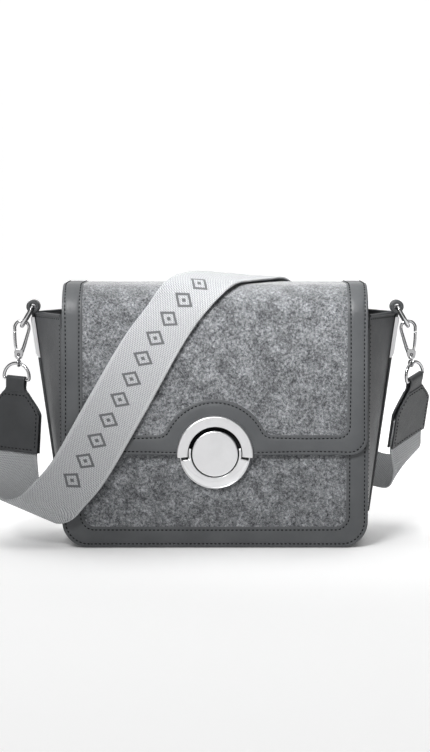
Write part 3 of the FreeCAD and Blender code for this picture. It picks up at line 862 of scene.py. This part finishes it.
def hook_bow(side, at, p):
    """A hook's bow with the two cheeks that hold the gate's pin, and the barrel under them."""
    bow = ((0.8, -0.8), (2.0, 1.2), (3.5, 4.6), (5.1, 9.6), (6.5, 14.2), (7.75, 18.6), (7.5, 21.6),
           (5.7, 24.1), (2.5, 24.95), (-0.6, 24.0), (-2.45, 21.6), (-2.75, 19.2), (-2.75, 17.1))
    path = smoothed([p(x, z) for x, z in bow], 9)
    thick = [1.55 - 0.35 * min(1.0, i / 40) for i in range(len(path))]
    wire = tube("bow", path, thick, CHROME, sides=18, flat=1.15)
    cheek = ((2.3, -2.6), (3.2, -0.2), (3.4, 2.2), (2.4, 3.6), (-1.6, 3.8), (-3.0, 2.6), (-3.1, -0.2),
             (-2.2, -2.6), (2.3, -2.6))
    rounded = smoothed([p(x, z) for x, z in cheek], 5)[:-1]
    cheeks = [plate(f"cheek{y}", rounded, Y * (0.95 * y), Y * (1.75 * y), CHROME, 0.28) for y in (-1, 1)]
    barrel = turned([(1.9, -3.3), (2.3, -3.0), (2.35, -2.2), (2.6, -1.7)], at, Z, 40, "barrel", CHROME)
    return join(f"hook_{side}_bow", wire, *cheeks, barrel)


def hook_eye(side, at):
    """The eye under a hook's barrel, square to the strap's ring, and its shank."""
    axis = tab_frame(side)[1]
    axis = Vector((axis.x, axis.y, 0)).normalized()
    across = Z.cross(axis)
    centre = at + Z * (-EYE_DROP + 0.05)
    path = [centre + (across * math.cos(a) + Z * math.sin(a)) * EYE_R for a in circle(48)]
    eye = tube("eye", path, EYE_WIRE, CHROME, closed=True, flat_axis=axis)
    shank = tube("shank", [centre + Z * (EYE_R - 0.2), centre + Z * (EYE_R + 0.5), at + Z * -2.4],
                 [1.1, 0.95, 0.95], CHROME, flat_axis=X)
    return join(f"hook_{side}_swivel", eye, shank)


def plate(name, points, near, far, material, round_by):
    """A flat plate with rounded rims between two offsets of a closed outline."""
    centre = sum(points, Vector()) / len(points)
    rings = []
    for share, shrink in ((0.0, round_by), (0.12, 0.08), (0.5, 0.0), (0.88, 0.08), (1.0, round_by)):
        move = near + (far - near) * share
        rings.append([q + (centre - q).normalized() * shrink + move for q in points])
    return loft(name, rings, material)


def ring_hangers():
    """On each side's fold: a rolled leather loop for the D-ring, its tail, and the metal clip on the tail."""
    ends = ((-6.0, 0.45), (-5.8, 0.12), (-5.2, 0), (-2.5, 0), (0.0, 0), (2.5, 0), (5.2, 0), (5.8, 0.12),
            (6.0, 0.45))
    wall = [(LOOP_R - inset, y) for y, inset in ends]
    wall += [(LOOP_HOLE + inset, y) for y, inset in reversed(ends)]
    strip = ((1.6, 1.0), (1.6, -1.0), (1.3, -1.25), (0.0, -1.25), (-0.3, -1.0), (-0.3, 1.0), (0.0, 1.25),
             (1.3, 1.25))
    channel = ((-0.3, 1.35), (-0.3, 2.05), (0.6, 2.2), (2.1, 2.2), (2.6, 1.9), (2.7, 1.4))
    channel += tuple((out, -y) for out, y in reversed(channel)) + ((1.55, -1.35), (1.65, -1.2), (1.65, 1.2),
                                                                   (1.55, 1.35))
    low, high = CLIP_TOP_Z - 14.8, MOUTH_Z + 0.9
    for side, s in SIDES:
        middle = Vector((s * (PIVOT_X - 0.5), 0, PIVOT_Z + 0.6))
        rings = [[middle + polar(r, a, y) for r, y in wall] for a in circle(40)]
        roll = loft(f"loop_{side}_roll", rings, LEATHER_DARK, closed=True)
        rings = []
        for i in range(14):
            z = low + (high - low) * i / 13
            grow = min(4.4, 1 + 3.2 * max(0.0, (z - 163.5) / 6) ** 2)
            rings.append(fold_ring(s, z, [(out, y * grow) for out, y in strip]))
        tail = loft("tail", rings, LEATHER_DARK)
        attach(join(f"loop_{side}", roll, tail), "case", "leather", f"ring_loop_{side}")
        rings = []
        for i in range(24):
            t = i / 23
            z = CLIP_BASE_Z + (CLIP_TOP_Z - CLIP_BASE_Z) * t
            shrink = 1 - 0.55 * max(0.0, 1 - t / 0.12) ** 2 - 0.12 * max(0.0, (t - 0.95) / 0.05) ** 2
            rings.append(fold_ring(s, z, [(out * shrink if out > 1.7 else out, y) for out, y in channel]))
        clip = loft(f"fold_clip_{side}_metal", rings, CLIP, smooth=False)
        attach(clip, "case", "metal_bright", f"fold_clip_{side}")


def tab_frame(side):
    """Where a tab hangs: its bar's middle, width, length and normal directions, and the ring's up."""
    s = -1 if side == "left" else 1
    top = Vector((s * HOOK_X, 0, HOOK_Z - EYE_DROP))
    width = Vector((0.93, -0.36, -0.06) if side == "left" else (0.64, 0.70, 0.30)).normalized()
    length = Vector((-0.02, 0, -1) if side == "left" else (0, 0.527, -0.85))
    up = (Z - width * width.z).normalized()
    length = (length - width * length.dot(width)).normalized()
    return top - up * RING_H + width * (s * RING_SHIFT), width, length, width.cross(length), up


def band(name, stations, halves, thickness, material):
    """A flat band with rounded edges through (centre, across, normal) stations, with a half width at each."""
    rings, t = [], thickness / 2
    for (c, w, n), half in zip(stations, halves):
        inner = half - 1.2 * t
        top = [(-half, 0.0), (-half + 0.12 * t, 0.55 * t), (-half + 0.5 * t, 0.92 * t)]
        top += [(-inner + 2 * inner * k / 12, t) for k in range(13)]
        top += [(half - 0.5 * t, 0.92 * t), (half - 0.12 * t, 0.55 * t), (half, 0.0)]
        rings.append([c + w * a + n * b for a, b in top + [(a, -b) for a, b in reversed(top[1:-1])]])
    return loft(name, rings, material)


def strap_ends():
    """On each end of the strap: a D-shaped ring and a stitched leather tab folded round it."""
    flat = WEB_T / 2 + 0.1 + TAB_T / 2
    for side, _ in SIDES:
        body = f"strap_end_{side}"
        bar, width, length, normal, up = tab_frame(side)
        ring = tube(f"strap_ring_{side}_wire", ring_path(RING_R, RING_H, 1.2, bar, width, up),
                    RING_WIRE, CHROME, closed=True, sides=18, flat_axis=width.cross(up))
        attach(ring, body, "metal_bright", f"strap_ring_{side}")
        run = tab_fold(flat)
        centres = [bar + normal * n + length * v for n, v in run]
        stations = [(c, width, width.cross(heading(centres, i))) for i, c in enumerate(centres)]
        tab = band(f"tab_{side}_leather", stations, [tab_half(v) for _, v in run], TAB_T, LEATHER_DARK)
        attach(tab, body, "leather", f"strap_tab_{side}")
        levels = [TAB_FOLD + (TAB_LEN + 0.2 - TAB_FOLD) * (i / 36) ** 1.2 for i in range(37)]
        outer = [Vector((tab_half(v) + 0.15, v)) for v in levels]
        outer += mirrored(reversed(outer))
        inner = [Vector((tab_half(v) - 2.2, v)) for v in levels[3:-3]]
        other = mirrored(inner)
        end = [Vector((-TAB_HALF + 2.2 + i, TAB_LEN - 2.4)) for i in range(int(2 * TAB_HALF - 4.4) + 1)]
        rows = []
        for face in (-1, 1):
            def place(u, v, h, face=face):
                return bar + width * u + length * v + normal * (face * (flat + TAB_T / 2 + h))
            cover = plate(f"tab_{side}_cover{face}", [place(p.x, p.y, 0) for p in outer],
                          normal * (face * -0.3), normal * (face * TAB_COVER), LEATHER_DARK, 0.3)
            attach(cover, body, "leather")
            rows += [stitch_row(q, place, height=TAB_COVER) for q in (inner, other, [other[0], inner[0]], end)]
        attach(stitches(f"tab_{side}_stitches", rows), body, "leather")


def tab_fold(flat):
    """A tab's middle line as (normal, length) points: up one face, round the ring's bar and down the other."""
    roll = RING_WIRE + 0.3 + TAB_T / 2
    leg = [(flat, TAB_LEN - 45.0 * i / 30) for i in range(31)]
    for t in (0.2, 0.4, 0.6, 0.8, 1.0):
        leg.append((flat + (roll - flat) * (0.5 - 0.5 * math.cos(math.pi * t)), 9 - 8 * t))
    turn = [(-roll * math.cos(math.pi * k / 12), -roll * math.sin(math.pi * k / 12)) for k in range(13)]
    return [(-n, v) for n, v in leg] + turn + leg[::-1]


def mirrored(points):
    return [Vector((-p.x, p.y)) for p in points]


def tab_half(v):
    """Half of a tab's width at a distance below its ring: a neck, curved shoulders, then straight."""
    if v < 7:
        return TAB_NECK
    t = min(1.0, (v - 7) / 18.5)
    return TAB_NECK + (TAB_HALF - TAB_NECK) * (t * t * (3 - 2 * t) * 0.45 + 0.55 * t ** 0.8)


def strap_stations():
    """Stations of the whole strap from the left tab to the right one, and where its four pieces join."""
    left_bar, left_w, left_l = tab_frame("left")[:3]
    right_bar, right_w, right_l = tab_frame("right")[:3]
    half = WEB_W / 2
    run = [(left_bar + left_l * 30, left_w * half), (left_bar + left_l * 55, left_w * half)]
    run += [(Vector(c), Vector(w)) for c, w in (
        ((-149, -4, 45.5), (18.9, -6.2, -2.6)), ((-144.5, -20, 32.5), (19.2, -3.2, -6.5)),
        ((-135.5, -42, 26.5), (19.3, -0.5, -8.2)), ((-123, -51.4, 29.5), (19, 0, -8.6)),
        ((-112.5, -50.6, 39.5), (18.9, 0, -8.2)), ((-97, -50.6, 58.5), (19.5, 0, -7)),
        ((-72, -50.6, 102), (21.6, 0, -3.5)), ((-44.6, -50.6, 150), (22.9, 0, 0)),
        ((-25.5, -49.6, 176), (23.1, 0, 0)), ((-10.5, -42.5, 192), (25, 3.5, -1.2)),
        ((3.5, -20, 195.7), (24.5, 0, -3)), ((17.5, 5, 195.5), (23.5, 0, -2.6)),
        ((28, 23, 194.2), (23, 0, -1)), ((35.5, 34, 189.4), (23, 0, 0)), ((44, 43.4, 180), (23, 0, 0)),
        ((52, 47.2, 166), (22.8, 0, 0)), ((71, 47.6, 130), (22, 0, 2)), ((85, 49, 100), (20.5, 1, 5)),
        ((97, 54.5, 73), (16, 8, 9)), ((110, 61, 52), (8, 13.5, 12.5)), ((126, 61.5, 43), (3, 16, 11)),
        ((139, 55, 43), (6, 15.5, 10.5)), ((146.5, 42, 53), (11, 14.8, 7.5)))]
    run += [(right_bar + right_l * 55, right_w * half), (right_bar + right_l * 30, right_w * half)]
    return run, (5, 13, 21)


# Each piece of the strap: the bodies at its ends and what it lies on.
STRAP_PARTS = (("left", ("strap_end_left", "case"), "front_border"),
               ("front", ("case", "flap"), "flap_felt"),
               ("back", ("flap", "case"), "flap_border"),
               ("right", ("case", "strap_end_right"), "back_border"))
# Two levels behind the bag, in metres, between which the strap passes the flap's hinge.
HINGE_TURN = (Vector((0.05, 0.046, 0.179)), Vector((0.05, 0.046, 0.157)))


def webbing():
    """One strap of webbing, cut where it passes from one body to the next; each cut's two ends match."""
    run, cuts = strap_stations()
    per = 12
    centres = smoothed([c for c, _ in run], per)
    acrosses = smoothed([w for _, w in run], per)
    stations = []
    for i, (c, w) in enumerate(zip(centres, acrosses)):
        stations.append((c, w, w.cross(heading(centres, i)).normalized()))
    marks = [0] + [c * per for c in cuts] + [len(stations) - 1]
    walked = 0.0
    for (name, bodies, under), a, b in zip(STRAP_PARTS, marks, marks[1:]):
        part = stations[a:b + 1]
        length = sum((q[0] - p[0]).length for p, q in zip(part, part[1:]))
        material = WEBBING
        if name == "front":
            first = math.ceil(walked / LOZENGE_PITCH) + 0.5
            marks_at = [n * LOZENGE_PITCH * MM for n in (first, first + LOZENGES)]
            material = webbing_material("webbing_marked", marks_at)
        piece = cloth_band(f"strap_{name}", part, walked, material)
        walked += length
        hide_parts(f"webbing_{name}")
        turns = {"left": (2 * per, -1), "front": (per, 3 * per), "right": (0, -1 - 2 * per)}
        start, end = [part[k][0] * MM for k in turns[name]] if name in turns else HINGE_TURN
        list(bodies)
        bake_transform(piece)
        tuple(start)
        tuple(end)


def cloth_band(name, part, walked, material):
    """A stretch of webbing whose across vectors aren't square to it: level ends keep neighbours flush."""
    rings, uvs = [], []
    t, steps = WEB_T / 2, 16
    top = [(-1.0, 0.0), (-0.994, 0.6 * t), (-0.975, 0.95 * t)]
    top += [(-0.94 + 1.88 * k / steps, t) for k in range(steps + 1)]
    top += [(0.975, 0.95 * t), (0.994, 0.6 * t), (1.0, 0.0)]
    section = top + [(a, -b) for a, b in reversed(top[1:-1])]
    centres = [c for c, _, _ in part]
    for i, (c, w, n) in enumerate(part):
        if i:
            walked += (c - centres[i - 1]).length
        along = heading(centres, i)
        skew = w.dot(along)
        square = (w - along * skew).length
        rings.append([c + w * a + n * b for a, b in section])
        uvs += [(a * square * MM, (walked + a * skew) * MM) for a, b in section]
    return loft(name, rings, material, uvs=uvs)


def finish_cad_nodes():
    """Materials for the CAD parts that stay in sight or inside."""
    looks = {"front_core_board": BOARD, "back_core_board": BOARD, "base_board": BOARD, "base_strip": LEATHER,
             "lining": LINING, "inner_pocket": LINING, "flap_backing": LINING, "lock_ring_posts": STEEL,
             "lock_backing_plate": STEEL, "lock_spring_cup": STEEL}
    for name, material in looks.items():
        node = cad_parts[name]
        node.data.materials.clear()
        node.data.materials.append(material)
        bevel = node.modifiers.new("edge", "BEVEL")
        bevel.width = 0.25 * MM
        bevel.segments = 2
        bevel.limit_method = "ANGLE"
        bevel.angle_limit = math.radians(50)


# ---- studio ----

# The air's light on the bag, and its brightness where the camera sees it.
AIR = 0.12
SEEN_AIR = 0.94
# Soft lamps: name, place and target in metres, size in metres, watts, spread in degrees.
LAMPS = (("top", (0.0, 0.15, 1.5), (0, 0.15, 0), 1.5, 8.0, 180),
         ("key", (-0.20, -0.55, 0.62), (0.01, -0.03, 0.30), 0.30, 1.05, 40),
         ("wall", (0.0, 0.7, 1.9), (0, 1.6, 0.6), 1.6, 6.0, 180),
         ("card", (0.0, -2.5, 0.35), (0, 0, 0.1), 1.7, 4.2, 180))


def studio():
    """A pale glowing floor that curves up into a wall, with a painted contact shadow in its glow near the bag,
    pale surroundings, and soft lamps above and in front.
    """
    white, shader = node_material("studio_white")
    # Ambient occlusion dims the floor's glow near the bag: a painted contact shadow.
    shade = shader.id_data.nodes.new("ShaderNodeAmbientOcclusion")
    shade.samples = 8
    feed(shade, {"Distance": 0.11})
    feed(shader, {"Base Color": (0.8, 0.8, 0.8), "Roughness": 0.9, "Specular IOR Level": 0.1,
                  "Emission Color": ramp(shade.outputs["AO"], ((0.25, 0.06), (0.97, 1.0))),
                  "Emission Strength": 0.50})
    path = [Vector((-1800, 0)), Vector((900, 0)), *arc(900, 700, 700, -81, 9, 10), Vector((1600, 2600))]
    verts = [Vector((side, y, z)) for y, z in path for side in (-2600, 2600)]
    floor = make_mesh("studio_floor", verts, grid_faces(len(path), 2), white)
    floor.location.z = -0.0004
    world = bpy.data.worlds.new("studio_air")
    world.use_nodes = True
    tree = world.node_tree
    seen = tree.nodes.new("ShaderNodeLightPath").outputs["Is Camera Ray"]
    strength = maths("ADD", maths("MULTIPLY", seen, SEEN_AIR - AIR), AIR)
    feed(tree.nodes["Background"], {"Color": (1, 1, 1), "Strength": strength})
    bpy.context.scene.world = world
    for name, where, target, size, power, spread in LAMPS:
        lamp = bpy.data.lights.new(name, "AREA")
        lamp.size = size
        lamp.energy = power
        lamp.spread = math.radians(spread)
        light = bpy.data.objects.new(name, lamp)
        light.location = where
        light.rotation_euler = (Vector(target) - Vector(where)).to_track_quat("-Z", "Y").to_euler()
        light.visible_camera = False
        bpy.context.scene.collection.objects.link(light)


def camera():
    eye = bpy.data.cameras.new("camera")
    eye.sensor_width = 36
    eye.lens = 93.4
    eye.clip_end = 20
    view = bpy.data.objects.new("camera", eye)
    view.location = (0, -1.445, 0.250)
    view.rotation_euler = (math.radians(90 - 5.1), 0, 0)
    bpy.context.scene.collection.objects.link(view)
    bpy.context.scene.camera = view
    bpy.context.scene.view_settings.view_transform = "Standard"


panels()
flap()
gussets()
lock()
ring_hangers()
hooks()
strap_ends()
webbing()
finish_cad_nodes()
studio()
camera()
